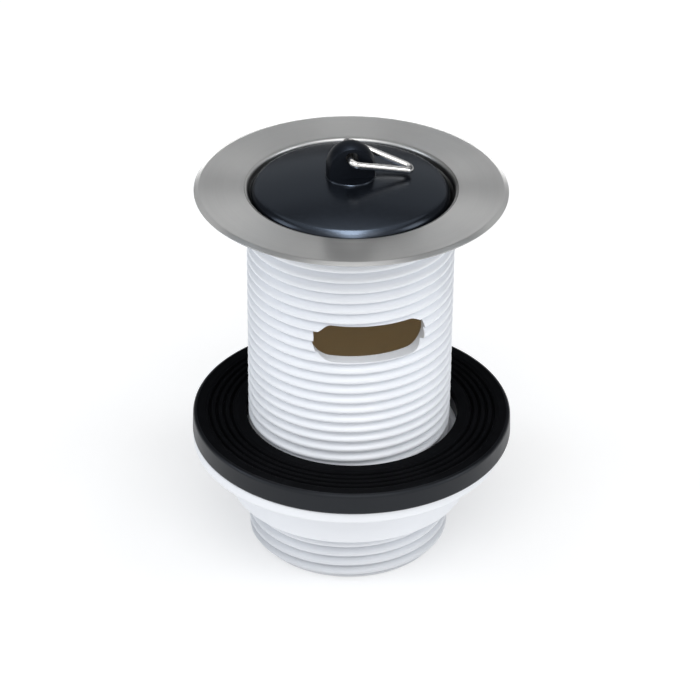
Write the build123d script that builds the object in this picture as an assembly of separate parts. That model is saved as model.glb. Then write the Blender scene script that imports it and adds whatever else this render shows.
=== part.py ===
from build123d import *
import math
import os

os.makedirs("parts", exist_ok=True)

# Slotted basin waste, millimetres. Z up, origin at the middle of the tail's
# end face. The tube axis is Z, the overflow slot that shows faces -Y.

# ---- threaded tube (G 1 1/4 pipe thread, 11 turns to the inch) ----
THREAD_R = 20.955        # crest radius
ROOT_R = 19.476          # root radius
BORE_R = 18.4            # waterway
TAIL_END_R = 19.45       # radius of the tail's end face
LEAD_IN = 1.9            # height of the lead-in chamfer
LAND_TOP = 10.55         # upper end of the tail's land, one thread valley above it
VALLEY_H = 1.3
FLANGE_Z = 81.8          # top plane of the steel flange
TUBE_TOP = FLANGE_Z - 3.0
SLOT_W = 22.7
SLOT_H = 7.8
SLOT_Z = 57.22
SLOT_R = 3.6

# ---- spider inside the mouth ----
BOSS_R = 5.4
BOSS_LOW = 62.4
RIB_T = 2.4
RIB_LOW = 65.0

# ---- steel flange, drawn from 0.8 sheet ----
FLANGE_R = 31.33
SHEET = 0.8
DISH = 0.2               # fall of the flange from its rim to the seat
ROLL_R = 30.45           # where its top starts to roll off to the edge
ROLL_H = 0.42
RIM_T = 0.6              # thickness at the edge
SEAT_R = 20.6            # wall of the seat
LIP_R = 0.8
SEAT_WALL_LOW = 1.7      # depth where the 45 degree seat starts
CUP_R = 16.6
CUP_DEPTH = 9.0
DRAIN_OUT = 14.4
DRAIN_IN = 6.6
BAR_W = 4.2

# ---- centre screw and insert ----
SCREW_R = 2.97
SCREW_HEAD_R = 5.3
SCREW_HEAD_H = 2.5
SCREW_LOW = 64.6
INSERT_R = 3.9
INSERT_LOW = 63.9
INSERT_BORE = 3.03

# ---- plug ----
PLUG_R = 19.96
DOME_H = 2.5             # crown above the flange plane
LUG_R = 4.9
LUG_BALL_Z = 4.75        # centre of the lug's round top above the flange plane
LUG_FLAT = 2.2           # half thickness between the two flats
COLLAR_R = 5.05
COLLAR_Z = 2.7
EYE_Z = 7.2
EYE_R = 1.3
LUG_TURN = -4.5          # turn of the eye about Z, degrees
PLUG_SHIFT = (-0.195, 0.044)   # it lies a little to one side in the seat

# ---- wire link ----
WIRE_R = 0.7
LINK_BASE = 5.35         # half length of the straight side, to its drawn corners
LINK_LEN = 13.4          # eye axis to the middle of the far bend
LINK_DROP = 19.6         # degrees below level where it lies on the dome
BASE_BEND = 0.9
TIP_BEND = 1.3
LINK_SLIDE = 0.55        # it is pushed back in the eye,
LINK_PULL = -0.3         # and lies against one side of it

# ---- rubber washer ----
WASHER_OUT = 33.15
WASHER_TOP_OUT = 32.98
WASHER_BORE = 22.0
WASHER_LOW = 25.2
WASHER_TOP = 29.75
RIDGE_TOP = 29.52
GROOVE_DEPTH = 0.8
GROOVES = (29.5, 28.03, 26.57, 25.1)
WASHER_SHIFT = (0.52, -0.12)   # it lies off centre on the nut

# ---- backnut ----
NUT_BORE = 21.04
NUT_FLANGE_R = 32.5
NUT_FLANGE_LOW = 22.6
NUT_TOP = 25.2
NUT_HUB_TOP_R = 25.3
NUT_HUB_R = 25.0
NUT_LOW = 12.5


def profile(points):
    """Closed face in the XZ plane from (radius, height, corner radius)."""
    n = len(points)
    ends = []
    for i in range(n):
        x, z, r = points[i]
        if r <= 0:
            ends.append(((x, z), None, (x, z)))
            continue
        px, pz, _ = points[i - 1]
        qx, qz, _ = points[(i + 1) % n]
        ax, az = px - x, pz - z
        bx, bz = qx - x, qz - z
        la, lb = math.hypot(ax, az), math.hypot(bx, bz)
        ax, az, bx, bz = ax / la, az / la, bx / lb, bz / lb
        half = math.acos(max(-1.0, min(1.0, ax * bx + az * bz))) / 2
        t = r / math.tan(half)
        mx, mz = ax + bx, az + bz
        lm = math.hypot(mx, mz)
        d = r / math.sin(half) - r
        ends.append((
            (x + ax * t, z + az * t),
            (x + mx / lm * d, z + mz / lm * d),
            (x + bx * t, z + bz * t),
        ))
    edges = []
    for i in range(n):
        start, mid, stop = ends[i]
        if mid is not None:
            edges.append(ThreePointArc((start[0], 0, start[1]), (mid[0], 0, mid[1]), (stop[0], 0, stop[1])))
        nxt = ends[(i + 1) % n][0]
        if math.hypot(nxt[0] - stop[0], nxt[1] - stop[1]) > 1e-6:
            edges.append(Line((stop[0], 0, stop[1]), (nxt[0], 0, nxt[1])))
    return make_face(edges)


def lathe(points):
    return revolve(profile(points), axis=Axis.Z)


def disc(radius, low, high):
    return Pos(0, 0, (low + high) / 2) * Cylinder(radius, high - low)


# ---------------------------------------------------------------- tube ----
mouth_r = SEAT_R + SHEET * math.sqrt(0.5) - (FLANGE_Z - SEAT_WALL_LOW - SHEET * math.sqrt(0.5) - TUBE_TOP) + 0.05
mouth_low = TUBE_TOP - (mouth_r - BORE_R)
tube = lathe([
    (BORE_R, 0.2, 0),
    (BORE_R + 0.2, 0, 0),
    (TAIL_END_R, 0, 0.25),
    (THREAD_R, LEAD_IN, 0),
    (THREAD_R, LAND_TOP, 0),
    (ROOT_R, LAND_TOP + 0.4, 0),
    (ROOT_R, LAND_TOP + VALLEY_H - 0.4, 0),
    (THREAD_R, LAND_TOP + VALLEY_H, 0),
    (THREAD_R, TUBE_TOP, 0),
    (mouth_r, TUBE_TOP, 0),
    (BORE_R, mouth_low, 0),
])
slot = extrude(Plane.XZ * RectangleRounded(SLOT_W, SLOT_H, SLOT_R), amount=14)
for far_side in (-12.0, 26.0):
    tube -= Pos(0, far_side, SLOT_Z) * slot

floor_low = FLANGE_Z - CUP_DEPTH - SHEET
ribs = None
for ang in (45, 135):
    bar = Rot(0, 0, ang) * Pos(0, 0, (RIB_LOW + floor_low) / 2) * Box(2 * (BORE_R + 0.6), RIB_T, floor_low - RIB_LOW)
    ribs = bar if ribs is None else ribs + bar
spider = ribs + disc(BOSS_R, BOSS_LOW, floor_low)
spider -= disc(INSERT_R, INSERT_LOW - 0.4, floor_low + 1)
tube = tube + spider
export_step(tube, "parts/waste_body.step")

# -------------------------------------------------------------- flange ----
z = FLANGE_Z
k = SHEET * math.sqrt(0.5)
cone_in_low = SEAT_WALL_LOW + (SEAT_R - CUP_R)
wall_out = SEAT_R + SHEET
cone_turn = SEAT_WALL_LOW + k - (wall_out - (SEAT_R + k))
cup_out = CUP_R + SHEET
cone_out_low = SEAT_WALL_LOW + k + (SEAT_R + k - cup_out)
flange = lathe([
    (FLANGE_R, z - ROLL_H, 0.05),
    (ROLL_R, z, 0.8),
    (SEAT_R, z - DISH, LIP_R),
    (SEAT_R, z - SEAT_WALL_LOW, 0),
    (CUP_R, z - cone_in_low, 0),
    (CUP_R, z - CUP_DEPTH, 0.8),
    (0, z - CUP_DEPTH, 0),
    (0, z - CUP_DEPTH - SHEET, 0),
    (cup_out, z - CUP_DEPTH - SHEET, 1.4),
    (cup_out, z - cone_out_low, 0),
    (wall_out, z - cone_turn, 0),
    (wall_out, z - RIM_T, 0.2),
    (FLANGE_R, z - RIM_T, 0.05),
])
drain = Circle(DRAIN_OUT) - Circle(DRAIN_IN)
for ang in (45, 135):
    drain -= Rot(0, 0, ang) * Rectangle(2 * DRAIN_OUT + 2, BAR_W)
drain = fillet(drain.vertices(), 1.0)
flange -= Pos(0, 0, z - CUP_DEPTH - 2) * extrude(drain, amount=4)
flange -= disc(SCREW_R + 0.25, z - CUP_DEPTH - 2, z - CUP_DEPTH + 2)
export_step(flange, "parts/steel_flange.step")

# --------------------------------------------------- screw and insert ----
seat_floor = FLANGE_Z - CUP_DEPTH
screw = lathe([
    (0, SCREW_LOW, 0),
    (SCREW_R - 0.5, SCREW_LOW, 0),
    (SCREW_R, SCREW_LOW + 0.5, 0),
    (SCREW_R, seat_floor, 0),
    (SCREW_HEAD_R, seat_floor, 0),
    (SCREW_HEAD_R, seat_floor + SCREW_HEAD_H, 1.5),
    (0, seat_floor + SCREW_HEAD_H, 0),
])
screw -= Pos(0, 0, seat_floor + SCREW_HEAD_H) * Box(2 * SCREW_HEAD_R + 1, 1.3, 2.4)
export_step(screw, "parts/centre_screw.step")

insert = lathe([
    (INSERT_BORE, INSERT_LOW, 0.3),
    (INSERT_R, INSERT_LOW, 0.3),
    (INSERT_R, floor_low, 0),
    (INSERT_BORE, floor_low, 0),
])
export_step(insert, "parts/screw_insert.step")

# ---------------------------------------------------------------- plug ----
# The gap at the cone lets it lie to one side and still clear the seat.
cone_gap = 0.28
plug_cone_top = FLANGE_Z - SEAT_WALL_LOW - (SEAT_R - PLUG_R) + cone_gap
plug_low = plug_cone_top - (PLUG_R - 16.36)
dome_edge_r = 18.3
dome_edge_z = FLANGE_Z + 0.2
crown_z = FLANGE_Z + DOME_H
sag = crown_z - dome_edge_z
dome_rad = (dome_edge_r ** 2 + sag ** 2) / (2 * sag)
lean = math.asin(dome_edge_r / dome_rad)
dome_mid = (dome_rad * math.sin(lean / 2), crown_z - dome_rad * (1 - math.cos(lean / 2)))
edge_rad = (PLUG_R - dome_edge_r) / (1 - math.sin(lean))
side_top = dome_edge_z - edge_rad * math.cos(lean)
turn_mid = (lean + math.pi / 2) / 2
edge_mid = (PLUG_R - edge_rad * (1 - math.sin(turn_mid)), dome_edge_z - edge_rad * (math.cos(lean) - math.cos(turn_mid)))
plug_edges = [
    ThreePointArc((0, 0, crown_z), (dome_mid[0], 0, dome_mid[1]), (dome_edge_r, 0, dome_edge_z)),
    ThreePointArc((dome_edge_r, 0, dome_edge_z), (edge_mid[0], 0, edge_mid[1]), (PLUG_R, 0, side_top)),
    Line((PLUG_R, 0, side_top), (PLUG_R, 0, side_top - 0.05)),
    Line((PLUG_R, 0, side_top - 0.05), (PLUG_R - (side_top - 0.05 - plug_low), 0, plug_low)),
    Line((PLUG_R - (side_top - 0.05 - plug_low), 0, plug_low), (14.2, 0, plug_low)),
    Line((14.2, 0, plug_low), (13.6, 0, FLANGE_Z - 1.6)),
    Line((13.6, 0, FLANGE_Z - 1.6), (12.0, 0, FLANGE_Z - 0.4)),
    Line((12.0, 0, FLANGE_Z - 0.4), (0, 0, FLANGE_Z + 0.1)),
    Line((0, 0, FLANGE_Z + 0.1), (0, 0, crown_z)),
]
plug = revolve(make_face(plug_edges), axis=Axis.Z)

ball_z = FLANGE_Z + LUG_BALL_Z
collar_z = FLANGE_Z + COLLAR_Z
knob = disc(LUG_R, FLANGE_Z + 1.2, ball_z) + Pos(0, 0, ball_z) * Sphere(LUG_R)
for sign in (1, -1):
    knob -= Pos(0, sign * (LUG_FLAT + 5), collar_z + 10) * Box(20, 10, 20)
knob -= disc(20, FLANGE_Z - 20, FLANGE_Z + 1.2)
knob -= Pos(0, 0, FLANGE_Z + EYE_Z) * (Rot(90, 0, 0) * Cylinder(EYE_R, 30))
collar = lathe([
    (0, FLANGE_Z + 1.2, 0),
    (COLLAR_R, FLANGE_Z + 1.2, 0),
    (COLLAR_R, collar_z, 0.3),
    (0, collar_z, 0),
])
lug = Rot(0, 0, LUG_TURN) * (knob + collar)
plug = Pos(PLUG_SHIFT[0], PLUG_SHIFT[1], 0) * (plug + lug)
export_step(plug, "parts/plug.step")

# ---------------------------------------------------------------- link ----
# Flat loop drawn in its own plane: the straight side lies along local Y in
# the eye, the two legs run out along local X and meet in the far bend.
def loop_path(corners):
    n = len(corners)
    ends = []
    for i in range(n):
        x, y, r = corners[i]
        px, py, _ = corners[i - 1]
        qx, qy, _ = corners[(i + 1) % n]
        ax, ay, bx, by = px - x, py - y, qx - x, qy - y
        la, lb = math.hypot(ax, ay), math.hypot(bx, by)
        ax, ay, bx, by = ax / la, ay / la, bx / lb, by / lb
        half = math.acos(ax * bx + ay * by) / 2
        t = r / math.tan(half)
        lm = math.hypot(ax + bx, ay + by)
        d = r / math.sin(half) - r
        ends.append(((x + ax * t, y + ay * t),
                     (x + (ax + bx) / lm * d, y + (ay + by) / lm * d),
                     (x + bx * t, y + by * t)))
    return ends


tip_half = math.atan2(LINK_BASE, LINK_LEN + TIP_BEND)
tip_x = LINK_LEN + TIP_BEND / math.sin(tip_half) - TIP_BEND
turns = loop_path([(0, LINK_BASE, BASE_BEND), (0, -LINK_BASE, BASE_BEND), (tip_x, 0, TIP_BEND)])
pieces = []
for i in range(3):
    a, m, b = turns[i]
    pieces.append(ThreePointArc((a[0], a[1], 0), (m[0], m[1], 0), (b[0], b[1], 0)))
    c = turns[(i + 1) % 3][0]
    pieces.append(Line((b[0], b[1], 0), (c[0], c[1], 0)))
# The wire starts and ends in the middle of the straight side, inside the eye.
first = Line((0, 0, 0), (turns[1][0][0], turns[1][0][1], 0))
last = Line((turns[0][2][0], turns[0][2][1], 0), (0, 0, 0))
wire_line = Wire([first, pieces[2], pieces[3], pieces[4], pieces[5], pieces[0], last])
ring = sweep(Plane(origin=(0, 0, 0), z_dir=(0, -1, 0)) * Circle(WIRE_R), path=wire_line)
link = Pos(PLUG_SHIFT[0], PLUG_SHIFT[1], FLANGE_Z + EYE_Z) * Rot(0, 0, LUG_TURN) * Pos(LINK_PULL, LINK_SLIDE, 0) * Rot(0, LINK_DROP, 0) * ring
export_step(link, "parts/plug_link.step")

# -------------------------------------------------------------- washer ----
pts = [
    (WASHER_BORE, WASHER_LOW, 0.25),
    (WASHER_OUT, WASHER_LOW, 0.5),
    (WASHER_TOP_OUT, WASHER_TOP, 0.75),
    (30.5, WASHER_TOP, 0.18),
    (30.2, RIDGE_TOP, 0),
]
for g in GROOVES:
    pts += [
        (g + 0.38, RIDGE_TOP, 0.12),
        (g + 0.12, RIDGE_TOP - GROOVE_DEPTH, 0),
        (g - 0.12, RIDGE_TOP - GROOVE_DEPTH, 0),
        (g - 0.38, RIDGE_TOP, 0.12),
    ]
pts += [
    (24.35, RIDGE_TOP, 0),
    (24.0, WASHER_TOP, 0),
    (WASHER_BORE, WASHER_TOP, 0.25),
]
washer = Pos(WASHER_SHIFT[0], WASHER_SHIFT[1], 0) * lathe(pts)
export_step(washer, "parts/sealing_washer.step")

# ------------------------------------------------------------- backnut ----
nut = lathe([
    (NUT_BORE, NUT_LOW + 0.7, 0),
    (NUT_BORE + 0.7, NUT_LOW, 0),
    (NUT_HUB_R, NUT_LOW, 0.5),
    (NUT_HUB_TOP_R, NUT_FLANGE_LOW, 1.2),
    (NUT_FLANGE_R, NUT_FLANGE_LOW, 0.6),
    (NUT_FLANGE_R, NUT_TOP, 0.4),
    (NUT_BORE + 0.5, NUT_TOP, 0),
    (NUT_BORE, NUT_TOP - 0.5, 0),
])
export_step(nut, "parts/backnut.step")
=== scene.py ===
import math

import bmesh
import bpy
import numpy as np
from mathutils import Matrix, Vector


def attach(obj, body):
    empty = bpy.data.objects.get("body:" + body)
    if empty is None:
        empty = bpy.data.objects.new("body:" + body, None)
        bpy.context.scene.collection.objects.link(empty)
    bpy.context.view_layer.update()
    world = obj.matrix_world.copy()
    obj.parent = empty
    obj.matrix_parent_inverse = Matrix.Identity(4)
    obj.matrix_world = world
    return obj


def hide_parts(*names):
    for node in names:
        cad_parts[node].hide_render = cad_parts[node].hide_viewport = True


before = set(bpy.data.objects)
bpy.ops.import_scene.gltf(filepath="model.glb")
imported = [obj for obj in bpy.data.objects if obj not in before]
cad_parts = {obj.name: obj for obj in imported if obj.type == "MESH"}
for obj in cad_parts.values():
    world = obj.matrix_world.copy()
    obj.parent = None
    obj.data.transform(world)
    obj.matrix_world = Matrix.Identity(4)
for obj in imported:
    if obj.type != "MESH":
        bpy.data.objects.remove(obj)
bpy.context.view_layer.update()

MM = 0.001
TAU = 2 * math.pi

# ---------------------------------------------------------------- sizes ----
# Millimetres, Z from the end of the tail.
PITCH = 25.4 / 11
CREST_R = 20.955
ROOT_R = 19.476
BORE_R = 18.4
TUBE_TOP = 78.8
MOUTH_R = 18.971
FLANGE_Z = 81.8
SLOT_W, SLOT_H, SLOT_Z, SLOT_R = 22.7, 7.8, 57.22, 3.6
LUG_TURN = math.radians(-4.5)
EYE_Z = FLANGE_Z + 7.2
WASHER_X, WASHER_Y = 0.52, -0.12
PLUG_X, PLUG_Y = -0.195, 0.044


# ------------------------------------------------------------- builders ----
def rounded(points, steps=6):
    """Closed outline from (radius, height, corner radius), corners as arcs."""
    out = []
    n = len(points)
    for i in range(n):
        x, z, r = points[i]
        if r <= 0:
            out.append((x, z))
            continue
        p = Vector((points[i - 1][0] - x, points[i - 1][1] - z)).normalized()
        q = Vector((points[(i + 1) % n][0] - x, points[(i + 1) % n][1] - z)).normalized()
        half = math.acos(max(-1.0, min(1.0, p.dot(q)))) / 2
        t = r / math.tan(half)
        m = (p + q).normalized()
        c = Vector((x, z)) + m * (r / math.sin(half))
        a = Vector((x, z)) + p * t - c
        b = Vector((x, z)) + q * t - c
        a0 = math.atan2(a.y, a.x)
        d = math.atan2(b.y, b.x) - a0
        d = (d + math.pi) % TAU - math.pi
        for k in range(steps + 1):
            w = a0 + d * k / steps
            out.append((c.x + r * math.cos(w), c.y + r * math.sin(w)))
    return out


def supported(outline, gap=0.12, longest=2.5, closed=True):
    """Adds points near the ends of the long straight stretches and along them."""
    out = []
    n = len(outline)
    for i in range(n if closed else n - 1):
        a, b = Vector(outline[i]), Vector(outline[(i + 1) % n])
        out.append(tuple(a))
        d = b - a
        l = d.length
        if l > 4 * gap:
            out.append(tuple(a + d * (gap / l)))
            k = int((l - 2 * gap) / longest)
            for j in range(1, k + 1):
                out.append(tuple(a + d * ((gap + (l - 2 * gap) * j / (k + 1)) / l)))
            out.append(tuple(b - d * (gap / l)))
    if not closed:
        out.append(outline[-1])
    return out


def lathe_data(outline, segs, closed=True):
    """Vertices and faces of an outline turned about Z; radius 0 gives a pole."""
    verts, rows = [], []
    for r, z in outline:
        if r < 1e-7:
            rows.append([len(verts)] * segs)
            verts.append((0.0, 0.0, z))
        else:
            rows.append(list(range(len(verts), len(verts) + segs)))
            verts += [(r * math.cos(TAU * k / segs), r * math.sin(TAU * k / segs), z) for k in range(segs)]
    faces = []
    for i in range(len(rows) if closed else len(rows) - 1):
        a, b = rows[i], rows[(i + 1) % len(rows)]
        if a[0] == a[1] and b[0] == b[1]:
            continue
        for k in range(segs):
            l = (k + 1) % segs
            f = []
            for v in (a[k], a[l], b[l], b[k]):
                if v not in f:
                    f.append(v)
            if len(f) >= 3:
                faces.append(f)
    return verts, faces


def make(name, verts, faces, shift=(0, 0, 0)):
    mesh = bpy.data.meshes.new(name)
    v = (np.array(verts, dtype=float) + np.array(shift)) * MM
    mesh.from_pydata(v.tolist(), [], faces)
    bm = bmesh.new()
    bm.from_mesh(mesh)
    bmesh.ops.remove_doubles(bm, verts=bm.verts, dist=2e-7)
    bmesh.ops.dissolve_degenerate(bm, edges=bm.edges, dist=1e-7)
    bmesh.ops.recalc_face_normals(bm, faces=bm.faces)
    bm.to_mesh(mesh)
    bm.free()
    obj = bpy.data.objects.new(name, mesh)
    bpy.context.scene.collection.objects.link(obj)
    return obj


def smooth(obj, angle=35):
    obj.data.polygons.foreach_set("use_smooth", [True] * len(obj.data.polygons))
    obj.data.set_sharp_from_angle(angle=math.radians(angle))
    obj.data.update()


def boolean(obj, tool, op):
    m = obj.modifiers.new("cut", "BOOLEAN")
    m.operation = op
    m.object = tool
    m.solver = "EXACT"
    dg = bpy.context.evaluated_depsgraph_get()
    made = bpy.data.meshes.new_from_object(obj.evaluated_get(dg))
    obj.modifiers.clear()
    old = obj.data
    obj.data = made
    made.name = old.name
    bpy.data.meshes.remove(old)
    bpy.data.objects.remove(tool)


def prism(name, outline, low, high):
    """Outline in XY, raised from low to high."""
    n = len(outline)
    verts = [(x, y, low) for x, y in outline] + [(x, y, high) for x, y in outline]
    faces = [list(range(n))[::-1], list(range(n, 2 * n))]
    faces += [[i, (i + 1) % n, n + (i + 1) % n, n + i] for i in range(n)]
    return make(name, verts, faces)


def give(obj, material, body, slot, *nodes):
    obj.data.materials.clear()
    obj.data.materials.append(material)
    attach(obj, body)
    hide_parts(*nodes)


# ------------------------------------------------------------ materials ----
def new_material(name):
    m = bpy.data.materials.new(name)
    m.use_nodes = True
    nt = m.node_tree
    b = nt.nodes["Principled BSDF"]
    return m, nt, b


def node(nt, kind, **values):
    n = nt.nodes.new(kind)
    for k, v in values.items():
        if k in n.inputs:
            n.inputs[k].default_value = v
        else:
            setattr(n, k, v)
    return n


def ramp(nt, source, stops):
    r = nt.nodes.new("ShaderNodeValToRGB")
    e = r.color_ramp.elements
    while len(e) > 1:
        e.remove(e[-1])
    e[0].position, e[0].color = stops[0][0], stops[0][1]
    for pos, col in stops[1:]:
        x = e.new(pos)
        x.color = col
    nt.links.new(source, r.inputs["Fac"])
    return r.outputs["Color"]


def grey(v, a=1.0):
    return (v, v, v, a)


def noise(nt, coords, scale, detail=3.0, rough=0.55):
    n = node(nt, "ShaderNodeTexNoise", Scale=scale, Detail=detail, Roughness=rough)
    nt.links.new(coords, n.inputs["Vector"])
    return n.outputs["Fac"]


def bump(nt, height, strength, distance, normal=None):
    b = node(nt, "ShaderNodeBump", Strength=strength, Distance=distance)
    nt.links.new(height, b.inputs["Height"])
    if normal is not None:
        nt.links.new(normal, b.inputs["Normal"])
    return b.outputs["Normal"]


def object_coords(nt):
    return node(nt, "ShaderNodeTexCoord").outputs["Object"]


def stretched(nt, coords, sx, sy, sz):
    m = node(nt, "ShaderNodeMapping")
    m.inputs["Scale"].default_value = (sx, sy, sz)
    nt.links.new(coords, m.inputs["Vector"])
    return m.outputs["Vector"]


def white_plastic(name, light, dark, rough=0.36, tail=1.0):
    m, nt, b = new_material(name)
    at = object_coords(nt)
    cloud = noise(nt, at, 55.0, 4.0)
    col = ramp(nt, cloud, [(0.30, dark), (0.70, light)])
    # painted shade: darker towards the end that stands on the bench, for the shade under the nut and near the floor
    sep = node(nt, "ShaderNodeSeparateXYZ")
    nt.links.new(at, sep.inputs[0])
    rise = node(nt, "ShaderNodeMath", operation="MULTIPLY")
    rise.inputs[1].default_value = 40.0
    nt.links.new(sep.outputs["Z"], rise.inputs[0])
    painted_foot_shade = ramp(nt, rise.outputs[0], [(0.0, grey(tail)), (0.22, grey(0.5 + 0.5 * tail)), (0.55, grey(1.0))])
    tone = node(nt, "ShaderNodeMix", data_type="RGBA", blend_type="MULTIPLY")
    tone.inputs["Factor"].default_value = 1.0
    nt.links.new(col, tone.inputs["A"])
    nt.links.new(painted_foot_shade, tone.inputs["B"])
    nt.links.new(tone.outputs["Result"], b.inputs["Base Color"])
    fine = noise(nt, at, 900.0, 3.0, 0.6)
    rgh = ramp(nt, fine, [(0.3, grey(rough - 0.05)), (0.7, grey(rough + 0.07))])
    nt.links.new(rgh, b.inputs["Roughness"])
    soft = noise(nt, at, 160.0, 2.0)
    n1 = bump(nt, soft, 0.10, 0.0002)
    nt.links.new(bump(nt, fine, 0.08, 0.00004, n1), b.inputs["Normal"])
    b.inputs["IOR"].default_value = 1.5
    b.inputs["Specular IOR Level"].default_value = 0.45
    return m


# tail=0.76 paints shade on the tube's lower turns, darker towards the bench end
tube_white = white_plastic("tube_white", (0.815, 0.833, 0.868, 1), (0.778, 0.797, 0.832, 1), tail=0.76)
nut_white = white_plastic("nut_white", (0.805, 0.820, 0.852, 1), (0.774, 0.789, 0.820, 1), 0.40)


def painted_bore_shade():
    """Painted shade: the white moulding's inner side coloured darker and brown, for the warm shade that shows through
    the slot.
    """
    m, nt, b = new_material("bore_painted_shade")
    at = object_coords(nt)
    cloud = noise(nt, at, 60.0, 4.0)
    col = ramp(nt, cloud, [(0.3, (0.69, 0.575, 0.385, 1)), (0.7, (0.72, 0.605, 0.415, 1))])
    nt.links.new(col, b.inputs["Base Color"])
    fine = noise(nt, at, 700.0, 3.0)
    rgh = ramp(nt, fine, [(0.3, grey(0.50)), (0.7, grey(0.62))])
    nt.links.new(rgh, b.inputs["Roughness"])
    nt.links.new(bump(nt, fine, 0.08, 0.00004), b.inputs["Normal"])
    b.inputs["Specular IOR Level"].default_value = 0.2
    return m


bore_painted_shade = painted_bore_shade()


def spun_steel(name, light, dark, rough=0.36, aniso=0.86, front=1.0):
    """Sheet polished on a lathe: fine rings round Z."""
    m, nt, b = new_material(name)
    at = object_coords(nt)
    sep = node(nt, "ShaderNodeSeparateXYZ")
    nt.links.new(at, sep.inputs[0])
    flat = node(nt, "ShaderNodeCombineXYZ")
    nt.links.new(sep.outputs["X"], flat.inputs["X"])
    nt.links.new(sep.outputs["Y"], flat.inputs["Y"])
    length = node(nt, "ShaderNodeVectorMath", operation="LENGTH")
    nt.links.new(flat.outputs[0], length.inputs[0])
    radial = node(nt, "ShaderNodeCombineXYZ")
    nt.links.new(length.outputs["Value"], radial.inputs["X"])
    nt.links.new(sep.outputs["Z"], radial.inputs["Z"])
    rings = noise(nt, radial.outputs[0], 5200.0, 2.0, 0.6)
    bands = noise(nt, radial.outputs[0], 900.0, 3.0, 0.6)
    cloud = noise(nt, at, 70.0, 4.0)
    col = ramp(nt, cloud, [(0.3, dark), (0.7, light)])
    tone = node(nt, "ShaderNodeMix", data_type="RGBA", blend_type="MULTIPLY")
    tone.inputs["Factor"].default_value = 0.10
    nt.links.new(col, tone.inputs["A"])
    nt.links.new(ramp(nt, bands, [(0.3, grey(0.55)), (0.7, grey(1.0))]), tone.inputs["B"])
    # painted shade: the lip of the seat is darker towards the front, for the shade in the gap under the plug
    shift = node(nt, "ShaderNodeMapRange")
    shift.inputs["From Min"].default_value = -0.002
    shift.inputs["From Max"].default_value = 0.016
    nt.links.new(sep.outputs["Y"], shift.inputs["Value"])
    painted_front_shade = node(nt, "ShaderNodeMix", data_type="RGBA", blend_type="MULTIPLY")
    painted_front_shade.inputs["Factor"].default_value = 1.0
    nt.links.new(tone.outputs["Result"], painted_front_shade.inputs["A"])
    nt.links.new(ramp(nt, shift.outputs["Result"], [(0.0, grey(front)), (1.0, grey(1.0))]), painted_front_shade.inputs["B"])
    nt.links.new(painted_front_shade.outputs["Result"], b.inputs["Base Color"])
    rgh = ramp(nt, rings, [(0.25, grey(rough - 0.04)), (0.75, grey(rough + 0.05))])
    nt.links.new(rgh, b.inputs["Roughness"])
    n1 = bump(nt, rings, 0.05, 0.00002)
    nt.links.new(n1, b.inputs["Normal"])
    b.inputs["Metallic"].default_value = 1.0
    b.inputs["Anisotropic"].default_value = aniso
    b.inputs["Anisotropic Rotation"].default_value = 0.25
    tangent = node(nt, "ShaderNodeTangent", direction_type="RADIAL", axis="Z")
    nt.links.new(tangent.outputs["Tangent"], b.inputs["Tangent"])
    return m


flange_steel = spun_steel("flange_steel", (0.58, 0.58, 0.572, 1), (0.54, 0.54, 0.536, 1))
rim_steel = spun_steel("rim_steel", (0.44, 0.44, 0.44, 1), (0.38, 0.38, 0.38, 1), 0.50, 0.2)
# the seat's steel gets painted shade, darkened to a tenth towards the front
seat_steel = spun_steel("seat_steel", (0.62, 0.62, 0.61, 1), (0.56, 0.56, 0.55, 1), 0.40, 0.3, 0.10)
screw_steel = spun_steel("screw_steel", (0.56, 0.56, 0.56, 1), (0.48, 0.48, 0.48, 1), 0.30, 0.3)


def black_plastic(name, rough, level):
    m, nt, b = new_material(name)
    at = object_coords(nt)
    cloud = noise(nt, at, 90.0, 4.0)
    col = ramp(nt, cloud, [(0.3, (0.0025, 0.0032, 0.0048, 1)), (0.7, (0.0045, 0.0054, 0.0075, 1))])
    nt.links.new(col, b.inputs["Base Color"])
    fine = noise(nt, at, 1500.0, 4.0, 0.6)
    rgh = ramp(nt, fine, [(0.3, grey(rough - 0.02)), (0.7, grey(rough + 0.02))])
    nt.links.new(rgh, b.inputs["Roughness"])
    grain = bump(nt, fine, 0.012, 0.00003)
    nt.links.new(bump(nt, noise(nt, at, 240.0, 2.0), 0.02, 0.0001, grain), b.inputs["Normal"])
    b.inputs["IOR"].default_value = 1.5
    b.inputs["Specular IOR Level"].default_value = level
    b.inputs["Specular Tint"].default_value = (0.70, 0.81, 1.0, 1)
    return m


plug_black = black_plastic("plug_black", 0.23, 0.5)
lug_black = black_plastic("lug_black", 0.42, 0.13)


def rubber(name, light, dark, rough, level):
    m, nt, b = new_material(name)
    at = object_coords(nt)
    cloud = noise(nt, at, 120.0, 5.0, 0.6)
    col = ramp(nt, cloud, [(0.3, dark), (0.72, light)])
    nt.links.new(col, b.inputs["Base Color"])
    fine = noise(nt, at, 1300.0, 5.0, 0.65)
    rgh = ramp(nt, cloud, [(0.3, grey(rough - 0.05)), (0.7, grey(rough + 0.05))])
    nt.links.new(rgh, b.inputs["Roughness"])
    n1 = bump(nt, fine, 0.16, 0.00006)
    nt.links.new(bump(nt, noise(nt, at, 300.0, 3.0), 0.08, 0.0002, n1), b.inputs["Normal"])
    b.inputs["IOR"].default_value = 1.5
    b.inputs["Specular IOR Level"].default_value = level
    b.inputs["Specular Tint"].default_value = (0.85, 0.91, 1.0, 1)
    return m


rubber_top = rubber("rubber_top", (0.0050, 0.0052, 0.0060, 1), (0.0025, 0.0026, 0.0031, 1), 0.62, 0.03)
rubber_side = rubber("rubber_side", (0.0050, 0.0053, 0.0066, 1), (0.0028, 0.0030, 0.0040, 1), 0.40, 0.36)


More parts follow.
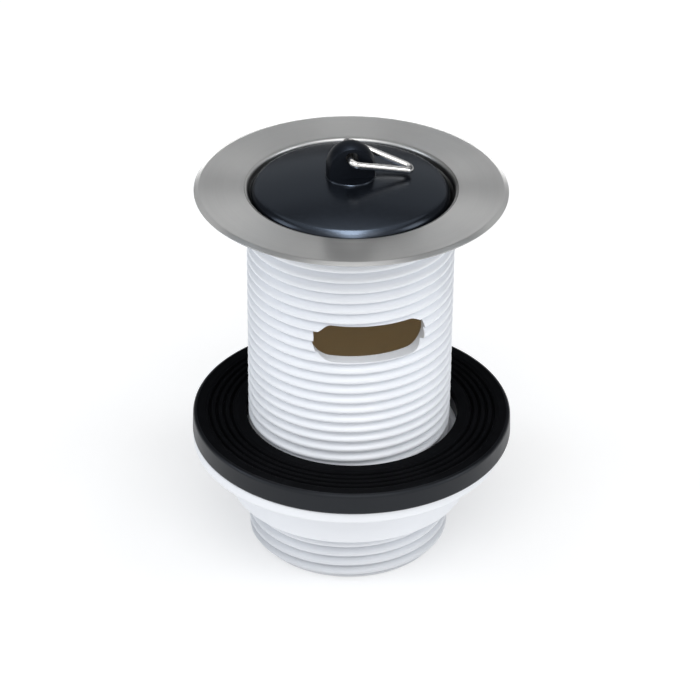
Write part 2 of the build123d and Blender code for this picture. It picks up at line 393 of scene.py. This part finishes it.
def plated_wire():
    m, nt, b = new_material("link_nickel")
    at = object_coords(nt)
    cloud = noise(nt, at, 500.0, 4.0, 0.6)
    col = ramp(nt, cloud, [(0.3, (0.74, 0.725, 0.70, 1)), (0.7, (0.82, 0.81, 0.795, 1))])
    nt.links.new(col, b.inputs["Base Color"])
    fine = noise(nt, at, 2600.0, 3.0)
    rgh = ramp(nt, fine, [(0.3, grey(0.17)), (0.7, grey(0.25))])
    nt.links.new(rgh, b.inputs["Roughness"])
    nt.links.new(bump(nt, cloud, 0.08, 0.00004), b.inputs["Normal"])
    b.inputs["Metallic"].default_value = 1.0
    return m


link_nickel = plated_wire()


def turned_brass():
    m, nt, b = new_material("insert_brass")
    at = object_coords(nt)
    rings = noise(nt, stretched(nt, at, 1, 1, 60), 300.0, 3.0)
    col = ramp(nt, rings, [(0.3, (0.55, 0.40, 0.16, 1)), (0.7, (0.68, 0.51, 0.23, 1))])
    nt.links.new(col, b.inputs["Base Color"])
    rgh = ramp(nt, rings, [(0.3, grey(0.26)), (0.7, grey(0.40))])
    nt.links.new(rgh, b.inputs["Roughness"])
    nt.links.new(bump(nt, rings, 0.1, 0.00003), b.inputs["Normal"])
    b.inputs["Metallic"].default_value = 1.0
    return m


insert_brass = turned_brass()

# ----------------------------------------------------------------- tube ----
# Right-hand pipe thread: each row of the mesh follows the helix, so that crests
# and roots stay crisp all the way round.
SEGS = 144
PER = 14
CREST_AT = 0.43
TAIL_LAG = 0.45          # the turns below the nut run a little lower
THREAD_PHASE = -0.80       # height of a valley's middle on the -Y side


def thread_radius(u):
    """Radius at a share of the pitch, 0 in the middle of a valley; moulded, round-backed turns."""
    u %= 1.0
    d = u / CREST_AT if u < CREST_AT else (1 - u) / (1 - CREST_AT)
    w = min(1.0, max(0.0, (d - 0.07) / 0.86))
    w = 1 - (1 - w) ** 2.0
    return ROOT_R + (CREST_R - ROOT_R) * w


def tube_radius(u, z):
    r = thread_radius(u)
    if z < 2.4:
        r = min(r, 19.25 + (CREST_R - 19.25) * max(0.0, z - 0.15) / 1.75)
    return r


def tube_mesh():
    low, high = 0.0, TUBE_TOP
    first = int(math.floor((low - THREAD_PHASE) / PITCH) - 2) * PER
    last = int(math.ceil((high - THREAD_PHASE) / PITCH) + 2) * PER
    rows = list(range(first, last + 1))
    verts, index = [], {}

    def at(k, s):
        if s == SEGS:
            return at(k + PER, 0)
        key = (k, s)
        if key not in index:
            ang = -math.pi / 2 + TAU * s / SEGS
            z = THREAD_PHASE + PITCH * (k / PER + s / SEGS)
            w = min(1.0, max(0.0, (z - 13.0) / 13.0))
            z -= TAIL_LAG * (1 - w * w * (3 - 2 * w))
            zc = min(high, max(low, z))
            r = tube_radius(k / PER, zc)
            index[key] = len(verts)
            verts.append((r * math.cos(ang), r * math.sin(ang), zc))
        return index[key]

    faces = []
    for k in rows[:-1 - PER]:
        for s in range(SEGS):
            f = [at(k, s), at(k, s + 1), at(k + 1, s + 1), at(k + 1, s)]
            zs = [verts[v][2] for v in f]
            if max(zs) - min(zs) < 1e-9:
                continue
            faces.append(f)
    return verts, faces


def build_tube():
    verts, faces = tube_mesh()
    # Inner side: end ring, bore, mouth.
    inner = [(BORE_R + 0.2, 0.0), (BORE_R, 0.2), (BORE_R, 20.0), (BORE_R, 40.0), (BORE_R, 60.0),
             (BORE_R, TUBE_TOP - (MOUTH_R - BORE_R)), (MOUTH_R, TUBE_TOP)]
    mesh = bpy.data.meshes.new("threaded_tube")
    bm = bmesh.new()
    vs = [bm.verts.new((x * MM, y * MM, z * MM)) for x, y, z in verts]
    bm.verts.ensure_lookup_table()
    for f in faces:
        try:
            bm.faces.new([vs[i] for i in dict.fromkeys(f)])
        except ValueError:
            pass
    bmesh.ops.remove_doubles(bm, verts=bm.verts, dist=3e-7)
    bmesh.ops.dissolve_degenerate(bm, edges=bm.edges, dist=1e-7)
    loose = [v for v in bm.verts if not v.link_faces]
    bmesh.ops.delete(bm, geom=loose, context="VERTS")
    ends = {}
    for e in bm.edges:
        if e.is_boundary:
            top = e.verts[0].co.z > TUBE_TOP * MM / 2
            ends.setdefault(top, []).append(e)
    rings = []
    for r, z in inner:
        ring = [bm.verts.new((r * MM * math.cos(-math.pi / 2 + TAU * s / SEGS),
                              r * MM * math.sin(-math.pi / 2 + TAU * s / SEGS), z * MM)) for s in range(SEGS)]
        rings.append(ring)
    for a, b in zip(rings, rings[1:]):
        for s in range(SEGS):
            t = (s + 1) % SEGS
            bm.faces.new([a[s], b[s], b[t], a[t]])
    for top, ring in ((False, rings[0]), (True, rings[-1])):
        edges = ends[top]
        own = [e for e in bm.edges if e.is_boundary and e.verts[0] in set(ring) and e.verts[1] in set(ring)]
        bmesh.ops.bridge_loops(bm, edges=edges + own)
    bmesh.ops.recalc_face_normals(bm, faces=bm.faces)
    bm.to_mesh(mesh)
    bm.free()
    obj = bpy.data.objects.new("threaded_tube", mesh)
    bpy.context.scene.collection.objects.link(obj)
    return obj


tube = build_tube()
slot_outline = []
for cx, cz, a0 in ((SLOT_W / 2 - SLOT_R, SLOT_H / 2 - SLOT_R, 0), (-SLOT_W / 2 + SLOT_R, SLOT_H / 2 - SLOT_R, 90),
                   (-SLOT_W / 2 + SLOT_R, -SLOT_H / 2 + SLOT_R, 180), (SLOT_W / 2 - SLOT_R, -SLOT_H / 2 + SLOT_R, 270)):
    for k in range(13):
        a = math.radians(a0 + 90 * k / 12)
        slot_outline.append((cx + SLOT_R * math.cos(a), cz + SLOT_R * math.sin(a)))
for sign in (-1, 1):
    cutter = prism("slot_cutter", slot_outline, 12.0, 26.0)
    turn = Matrix.Rotation(math.radians(90 if sign < 0 else -90), 4, "X")
    cutter.data.transform(Matrix.Translation((0, 0, SLOT_Z * MM)) @ turn)
    boolean(tube, cutter, "DIFFERENCE")
smooth(tube, 42)
tube.data.materials.append(tube_white)
tube.data.materials.append(bore_painted_shade)
# painted shade: the faces of the bore take the darker, brown bore material
for p in tube.data.polygons:
    c = p.center / MM
    rad = math.hypot(c.x, c.y)
    n = p.normal
    inward = -(n.x * c.x + n.y * c.y) / max(rad, 1e-6)
    if rad < BORE_R + 0.03 and inward > 0.9:
        p.material_index = 1
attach(tube, "waste")
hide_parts("waste_body")

# Spider under the seat: four ribs into a round boss.
boss = [(3.9, 72.0), (5.4, 72.0), (5.4, 65.4), (4.9, 62.4), (0.0, 62.4), (0.0, 63.5), (3.9, 63.5)]
v, f = lathe_data(supported(rounded([(r, z, 0.0) for r, z in boss], 4), 0.1, 3.0), 64)
spider = make("spider", v, f)
for deg in (45, 135, 225, 315):
    a = math.radians(deg)
    d, s = Vector((math.cos(a), math.sin(a))), Vector((-math.sin(a), math.cos(a)))
    pts = []
    for along, across in ((4.6, -1.2), (BORE_R + 0.15, -1.2), (BORE_R + 0.15, 1.2), (4.6, 1.2)):
        q = d * along + s * across
        pts.append((q.x, q.y))
    boolean(spider, prism("rib", pts, 65.0, 71.98), "UNION")
smooth(spider, 35)
# painted shade: the spider inside the bore takes the same darker, brown bore material
spider.data.materials.clear()
spider.data.materials.append(bore_painted_shade)
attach(spider, "waste")

# --------------------------------------------------------------- flange ----
k2 = 0.8 * math.sqrt(0.5)
seat = 20.6
wall_out = seat + 0.8
cone_in_low = 1.7 + (seat - 16.6)
cone_turn = 1.7 + k2 - (wall_out - (seat + k2))
cone_out_low = 1.7 + k2 + (seat + k2 - 17.4)
Z = FLANGE_Z
DISH = 0.2               # the flange falls this much from its rim to the seat
outline = rounded([
    (31.33, Z - 0.42, 0.05),
    (30.45, Z, 0.8),
    (seat, Z - DISH, 0.8),
    (seat, Z - 1.7, 0.3),
    (16.6, Z - cone_in_low, 0.5),
    (16.6, Z - 9.0, 0.8),
    (3.22, Z - 9.0, 0),
    (3.22, Z - 9.8, 0),
    (17.4, Z - 9.8, 1.4),
    (17.4, Z - cone_out_low, 0.3),
    (wall_out, Z - cone_turn, 0.2),
    (wall_out, Z - 0.6, 0.2),
    (31.33, Z - 0.6, 0.05),
], 8)
v, f = lathe_data(supported(outline, 0.15, 1.2), 192)
flange = make("spun_flange", v, f)
for deg in (0, 90, 180, 270):
    pts = []
    for sgn, radii in ((1, (6.6, 14.4)), (-1, (14.4, 6.6))):
        for r in radii:
            # the bar between two drains is 4.2 wide, on the diagonal
            lim = math.pi / 4 - math.asin(2.1 / r)
            pts.append((r, sgn * lim))
    (r0, a0), (r1, a1) = pts[0], pts[1]
    ring = []
    for k in range(9):
        ring.append((r1, -a1 + 2 * a1 * k / 8))
    for k in range(9):
        ring.append((r0, a0 - 2 * a0 * k / 8))
    xy = [(r * math.cos(a + math.radians(deg)), r * math.sin(a + math.radians(deg))) for r, a in ring]
    boolean(flange, prism("drain", xy, Z - 10.5, Z - 8.2), "DIFFERENCE")
smooth(flange, 40)
give(flange, flange_steel, "waste", "flange_steel", "steel_flange")
flange.data.materials.append(rim_steel)
flange.data.materials.append(seat_steel)
# the seat's faces take the seat steel, which is painted darker towards the front as shade
for p in flange.data.polygons:
    c = p.center / MM
    rad = math.hypot(c.x, c.y)
    if rad > 31.25 and abs(p.normal.z) < 0.35:
        p.material_index = 1
    elif rad < seat + 0.74 and c.z > Z - 8.0 and p.normal.x * c.x + p.normal.y * c.y < -0.1 * rad:
        p.material_index = 2

# ------------------------------------------------------ screw and insert ----
floor_z = Z - 9.0
v, f = lathe_data(supported(rounded([
    (0, 64.6, 0), (2.47, 64.6, 0), (2.97, 65.1, 0), (2.97, floor_z, 0), (5.3, floor_z, 0.2),
    (5.3, floor_z + 2.5, 1.5), (0, floor_z + 2.5, 0),
], 8)[:-1] + [(0, floor_z + 2.5)], 0.1, 2.0, closed=False), 96, closed=False)
screw = make("slotted_screw", v, f)
boolean(screw, prism("kerf", [(-5.8, -0.65), (5.8, -0.65), (5.8, 0.65), (-5.8, 0.65)], floor_z + 1.3, floor_z + 4), "DIFFERENCE")
smooth(screw, 35)
give(screw, screw_steel, "waste", "screw_steel", "centre_screw")

v, f = lathe_data(supported(rounded([(3.03, 63.9, 0.3), (3.9, 63.9, 0.3), (3.9, 72.0, 0.1), (3.03, 72.0, 0.1)], 4), 0.1, 2.0), 72)
bush = make("brass_bush", v, f)
smooth(bush, 35)
give(bush, insert_brass, "waste", "insert_brass", "screw_insert")

# ----------------------------------------------------------------- plug ----
plug_r, dome_h = 19.96, 2.5
cone_top = Z - 2.085
plug_low = cone_top - (plug_r - 16.36)
edge_r, edge_z = 18.3, Z + 0.2
sag = Z + dome_h - edge_z
dome_rad = (edge_r ** 2 + sag ** 2) / (2 * sag)
dome = [(r, Z + dome_h - dome_rad + math.sqrt(dome_rad ** 2 - r * r)) for r in np.linspace(0, edge_r, 40)]
lean = math.asin(edge_r / dome_rad)
edge_rad = (plug_r - edge_r) / (1 - math.sin(lean))
corner = []
for k in range(1, 15):
    a = lean + (math.pi / 2 - lean) * k / 14
    corner.append((plug_r - edge_rad * (1 - math.sin(a)), edge_z - edge_rad * (math.cos(lean) - math.cos(a))))
under = [(plug_r, cone_top), (19.81, cone_top - 0.15), (16.51, plug_low + 0.15), (16.36, plug_low), (16.2, plug_low),
         (14.3, plug_low), (14.2, plug_low), (14.18, plug_low + 0.2), (13.65, Z - 1.8), (13.6, Z - 1.6), (13.45, Z - 1.5), (12.1, Z - 0.47),
         (12.0, Z - 0.4), (11.8, Z - 0.39), (6.0, Z - 0.15), (0.0, Z + 0.1)]
v, f = lathe_data(dome + corner + under, 192, closed=False)
plug = make("domed_plug", v, f)

LUG_R, BALL_Z, FLAT = 4.9, Z + 4.75, 2.2
COLLAR_R, COLLAR_Z = 5.05, Z + 2.7


def lug_mesh():
    """Round-topped lug with two flats: rings that run from the collar to the top."""
    prof = [(0.0, Z + 1.0), (LUG_R, Z + 1.0), (LUG_R, Z + 2.5), (LUG_R, COLLAR_Z + 0.6), (LUG_R, BALL_Z - 0.4)]
    for k in range(25):
        a = math.pi / 2 * k / 24
        prof.append((LUG_R * math.cos(a), BALL_Z + LUG_R * math.sin(a)))
    prof[-1] = (0.0, BALL_Z + LUG_R)
    vv, ff = lathe_data(prof, 96, closed=False)
    return make("lug", vv, ff)


lug = lug_mesh()
for sign in (1, -1):
    y0, y1 = sorted((sign * FLAT, sign * 12.0))
    boolean(lug, prism("flat", [(-10, y0), (10, y0), (10, y1), (-10, y1)], COLLAR_Z - 0.05, Z + 20), "DIFFERENCE")
bev = lug.modifiers.new("soft", "BEVEL")
bev.width = 0.00045
bev.segments = 4
bev.limit_method = "ANGLE"
bev.angle_limit = math.radians(40)
bev.harden_normals = False
dg = bpy.context.evaluated_depsgraph_get()
made = bpy.data.meshes.new_from_object(lug.evaluated_get(dg))
lug.modifiers.clear()
lug.data = made
eye = []
v, f = lathe_data([(0, -8.0), (1.3, -8.0), (1.3, 8.0), (0, 8.0)], 40, closed=False)
hole = make("eye_cutter", v, f)
hole.data.transform(Matrix.Translation((0, 0, EYE_Z * MM)) @ Matrix.Rotation(math.pi / 2, 4, "X"))
boolean(lug, hole, "DIFFERENCE")
v, f = lathe_data(supported(rounded([(0, Z + 1.2, 0), (COLLAR_R, Z + 1.2, 0), (COLLAR_R, COLLAR_Z, 0.3), (0, COLLAR_Z, 0)], 6), 0.1, 2.0, closed=False), 96, closed=False)
collar = make("collar", v, f)
boolean(lug, collar, "UNION")
lug.data.transform(Matrix.Rotation(LUG_TURN, 4, "Z"))
boolean(plug, lug, "UNION")
plug.data.transform(Matrix.Translation((PLUG_X * MM, PLUG_Y * MM, 0)))
smooth(plug, 38)
give(plug, plug_black, "waste", "plug_plastic", "plug")
plug.data.materials.append(lug_black)
for p in plug.data.polygons:
    c = p.center / MM
    if c.z > COLLAR_Z + 0.02 and math.hypot(c.x - PLUG_X, c.y - PLUG_Y) < LUG_R + 0.1:
        p.material_index = 1

# ----------------------------------------------------------------- link ----
WIRE_R, LINK_BASE, LINK_LEN, LINK_DROP = 0.7, 5.35, 13.4, math.radians(19.6)
LINK_SLIDE, LINK_PULL = 0.55, -0.3
BASE_BEND, TIP_BEND = 0.9, 1.3
tip_half = math.atan2(LINK_BASE, LINK_LEN + TIP_BEND)
tip_x = LINK_LEN + TIP_BEND / math.sin(tip_half) - TIP_BEND
loop = rounded([(0, LINK_BASE, BASE_BEND), (0, -LINK_BASE, BASE_BEND), (tip_x, 0, TIP_BEND)], 14)
path = supported(loop, 0.3, 0.8)
n = len(path)
AROUND = 20
verts, faces = [], []
for i in range(n):
    p = Vector((path[i][0], path[i][1], 0))
    t = Vector((path[(i + 1) % n][0] - path[i - 1][0], path[(i + 1) % n][1] - path[i - 1][1], 0)).normalized()
    s = Vector((-t.y, t.x, 0))
    for k in range(AROUND):
        a = TAU * k / AROUND
        q = p + s * (WIRE_R * math.cos(a)) + Vector((0, 0, WIRE_R * math.sin(a)))
        verts.append(tuple(q))
for i in range(n):
    j = (i + 1) % n
    for k in range(AROUND):
        l = (k + 1) % AROUND
        faces.append([i * AROUND + k, j * AROUND + k, j * AROUND + l, i * AROUND + l])
link = make("wire_link", verts, faces)
link.data.transform(Matrix.Translation((PLUG_X * MM, PLUG_Y * MM, EYE_Z * MM)) @ Matrix.Rotation(LUG_TURN, 4, "Z") @ Matrix.Translation((LINK_PULL * MM, LINK_SLIDE * MM, 0)) @ Matrix.Rotation(LINK_DROP, 4, "Y"))
smooth(link, 60)
give(link, link_nickel, "link", "link_wire", "plug_link")

# --------------------------------------------------------------- washer ----
pts = [(22.0, 25.2, 0.25), (33.145, 25.2, 0.5), (32.975, 29.75, 0.75), (30.5, 29.75, 0.18), (30.2, 29.52, 0)]
for g in (29.5, 28.03, 26.57, 25.1):
    pts += [(g + 0.38, 29.52, 0.12), (g + 0.12, 28.72, 0), (g - 0.12, 28.72, 0), (g - 0.38, 29.52, 0.12)]
pts += [(24.35, 29.52, 0), (24.0, 29.75, 0), (22.0, 29.75, 0.25)]
v, f = lathe_data(supported(rounded(pts, 5), 0.06, 1.5), 192)
washer = make("grooved_washer", v, f, (WASHER_X, WASHER_Y, 0))
smooth(washer, 50)
give(washer, rubber_side, "washer", "washer_rubber", "sealing_washer")
washer.data.materials.append(rubber_top)
for p in washer.data.polygons:
    c = p.center / MM
    if p.normal.z > -0.2 and math.hypot(c.x - WASHER_X, c.y - WASHER_Y) < 32.2 and c.z > 28.5:
        p.material_index = 1

# ------------------------------------------------------------------ nut ----
v, f = lathe_data(supported(rounded([
    (21.04, 13.2, 0), (21.74, 12.5, 0), (25.0, 12.5, 0.5), (25.3, 22.6, 1.2), (32.5, 22.6, 0.6),
    (32.5, 25.2, 0.4), (21.54, 25.2, 0), (21.04, 24.7, 0),
], 6), 0.15, 1.5), 192)
nut = make("flanged_nut", v, f)
smooth(nut, 40)
give(nut, nut_white, "nut", "nut_plastic", "backnut")

# --------------------------------------------------------------- camera ----
AZ, EL, ROLL = math.radians(12.65), math.radians(31.563), math.radians(0.587)
fwd = Vector((math.sin(AZ) * math.cos(EL), math.cos(AZ) * math.cos(EL), -math.sin(EL)))
right = Vector((math.cos(AZ), -math.sin(AZ), 0))
up = right.cross(fwd)
r2 = right * math.cos(ROLL) + up * math.sin(ROLL)
u2 = up * math.cos(ROLL) - right * math.sin(ROLL)
place = right * 0.0619 + Vector((0, 0, 43.465)) - fwd * 586.34
cam_data = bpy.data.cameras.new("camera")
cam_data.sensor_fit = "HORIZONTAL"
cam_data.sensor_width = 36.0
cam_data.lens = 36.0 * 2850.48 / 700.0
cam_data.clip_start, cam_data.clip_end = 0.02, 20.0
cam = bpy.data.objects.new("camera", cam_data)
cam.matrix_world = Matrix((
    (r2.x, u2.x, -fwd.x, place.x * MM),
    (r2.y, u2.y, -fwd.y, place.y * MM),
    (r2.z, u2.z, -fwd.z, place.z * MM),
    (0, 0, 0, 1),
))
bpy.context.scene.collection.objects.link(cam)
bpy.context.scene.camera = cam

# ---------------------------------------------------------------- stage ----
floor_v = []
floor_f = []
N = 64
for ring_r in (0.0, 0.3, 1.0, 2.5):
    if ring_r == 0:
        floor_v.append((0, 0, 0))
    else:
        floor_v += [(ring_r * math.cos(TAU * k / N), ring_r * math.sin(TAU * k / N), 0) for k in range(N)]
for k in range(N):
    l = (k + 1) % N
    floor_f.append([0, 1 + k, 1 + l])
    for g in range(2):
        a, b = 1 + g * N, 1 + (g + 1) * N
        floor_f.append([a + k, b + k, b + l, a + l])
mesh = bpy.data.meshes.new("floor")
mesh.from_pydata(floor_v, [], floor_f)
floor = bpy.data.objects.new("floor", mesh)
floor.location.z = -0.00005
bpy.context.scene.collection.objects.link(floor)
fm, nt, b = new_material("floor_paper")
at = object_coords(nt)
paper = noise(nt, at, 30.0, 3.0)
nt.links.new(ramp(nt, paper, [(0.3, (0.57, 0.57, 0.57, 1)), (0.7, (0.59, 0.59, 0.59, 1))]), b.inputs["Base Color"])
b.inputs["Roughness"].default_value = 0.9
b.inputs["Specular IOR Level"].default_value = 0.0
# the floor glows, and glows less near the object: a painted contact shadow round its foot
away = node(nt, "ShaderNodeVectorMath", operation="LENGTH")
nt.links.new(at, away.inputs[0])
far = node(nt, "ShaderNodeMath", operation="MULTIPLY")
far.inputs[1].default_value = 5.0
nt.links.new(away.outputs["Value"], far.inputs[0])
glow_with_painted_shadow = ramp(nt, far.outputs[0], [(0.10, grey(0.42)), (0.30, grey(0.58)), (0.60, grey(0.63)), (1.0, grey(0.66))])
nt.links.new(glow_with_painted_shadow, b.inputs["Emission Color"])
b.inputs["Emission Strength"].default_value = 1.0
floor.data.materials.append(fm)

# --------------------------------------------------------------- lights ----
CENTRE = Vector((0, 0, 0.05))


def softbox(name, azimuth, elevation, distance, width, height, power, colour=(1, 1, 1)):
    """Azimuth from the camera's side, positive to its right; elevation above the floor."""
    a = AZ * -1 + math.radians(azimuth)
    e = math.radians(elevation)
    way = Vector((math.sin(a) * math.cos(e), -math.cos(a) * math.cos(e), math.sin(e)))
    data = bpy.data.lights.new(name, "AREA")
    data.shape = "RECTANGLE"
    data.size, data.size_y = width, height
    data.energy = power
    data.color = colour
    lamp = bpy.data.objects.new(name, data)
    lamp.location = CENTRE + way * distance
    lamp.rotation_mode = "QUATERNION"
    lamp.rotation_quaternion = (-way).to_track_quat("-Z", "Y")
    bpy.context.scene.collection.objects.link(lamp)
    return lamp


def only_on(lamp, *objects):
    """The lamp is a card that only these pieces mirror."""
    group = bpy.data.collections.new(lamp.name + "_on")
    for o in objects:
        group.objects.link(o)
    lamp.light_linking.receiver_collection = group
    lamp.visible_diffuse = False


def card_power(radiance, width, height):
    return radiance * width * height * math.pi


softbox("key", 5, 58, 0.95, 0.75, 0.60, 3.3)
softbox("left", -82, 28, 0.9, 0.35, 0.5, 1.7, (0.86, 0.93, 1.0))
softbox("right", 80, 28, 0.9, 0.35, 0.5, 1.7, (0.93, 0.97, 1.0))
BLUE = (0.86, 0.93, 1.0)
only_on(softbox("glint", 3, 82, 0.95, 0.26, 0.80, card_power(17.0, 0.26, 0.80), BLUE), plug)
only_on(softbox("glint_low", 3, 35, 0.95, 0.30, 0.75, card_power(7.0, 0.30, 0.75), BLUE), plug)
only_on(softbox("link_card", -10, 60, 0.9, 0.8, 0.8, card_power(0.9, 0.8, 0.8)), link)
only_on(softbox("link_back", 178, 58, 0.9, 1.4, 0.95, card_power(0.75, 1.4, 0.95)), link)
only_on(softbox("plug_back", 180, 30, 0.9, 1.5, 0.55, card_power(0.32, 1.5, 0.55), BLUE), plug)
only_on(softbox("plug_top", 180, 80, 0.9, 1.2, 0.8, card_power(0.85, 1.2, 0.8), BLUE), plug)
only_on(softbox("steel_low", 180, 10, 0.9, 0.70, 0.33, card_power(3.3, 0.70, 0.33)), flange)
only_on(softbox("steel_top", 180, 74, 0.9, 0.9, 0.28, card_power(0.55, 0.9, 0.28)), flange)
only_on(softbox("steel_left", -138, 33, 0.9, 0.8, 0.42, card_power(0.72, 0.8, 0.42)), flange)
only_on(softbox("steel_right", 138, 33, 0.9, 0.8, 0.42, card_power(0.72, 0.8, 0.42)), flange)

# Bright in front, dim behind.
world = bpy.data.worlds.new("studio")
bpy.context.scene.world = world
world.use_nodes = True
wn = world.node_tree
bg = wn.nodes["Background"]
way = node(wn, "ShaderNodeTexCoord").outputs["Generated"]
front = node(wn, "ShaderNodeVectorMath", operation="DOT_PRODUCT")
wn.links.new(way, front.inputs[0])
front.inputs[1].default_value = (-math.sin(AZ), -math.cos(AZ), 0.0)
share = node(wn, "ShaderNodeMapRange", interpolation_type="SMOOTHSTEP")
share.inputs["From Min"].default_value = -0.20
share.inputs["From Max"].default_value = 0.60
wn.links.new(front.outputs["Value"], share.inputs["Value"])
height = node(wn, "ShaderNodeSeparateXYZ")
wn.links.new(way, height.inputs[0])
behind = ramp(wn, height.outputs["Z"], [(0.0, (0.105, 0.11, 0.12, 1)), (0.50, (0.08, 0.083, 0.088, 1)),
                                        (0.85, (0.11, 0.113, 0.118, 1)), (1.0, (0.16, 0.165, 0.17, 1))])
mix = node(wn, "ShaderNodeMix", data_type="RGBA")
wn.links.new(share.outputs["Result"], mix.inputs["Factor"])
wn.links.new(behind, mix.inputs["A"])
mix.inputs["B"].default_value = (0.81, 0.815, 0.825, 1)
low = node(wn, "ShaderNodeMapRange")
low.inputs["From Min"].default_value = -0.04
low.inputs["From Max"].default_value = 0.0
low.inputs["To Min"].default_value = 1.0
low.inputs["To Max"].default_value = 0.0
wn.links.new(height.outputs["Z"], low.inputs["Value"])
lower = node(wn, "ShaderNodeMix", data_type="RGBA")
wn.links.new(low.outputs["Result"], lower.inputs["Factor"])
wn.links.new(mix.outputs["Result"], lower.inputs["A"])
lower.inputs["B"].default_value = (0.45, 0.455, 0.465, 1)
wn.links.new(lower.outputs["Result"], bg.inputs["Color"])
bg.inputs["Strength"].default_value = 1.0

scene = bpy.context.scene
scene.view_settings.view_transform = "Standard"
scene.view_settings.look = "None"
scene.view_settings.exposure = 0.0
scene.view_settings.gamma = 1.0
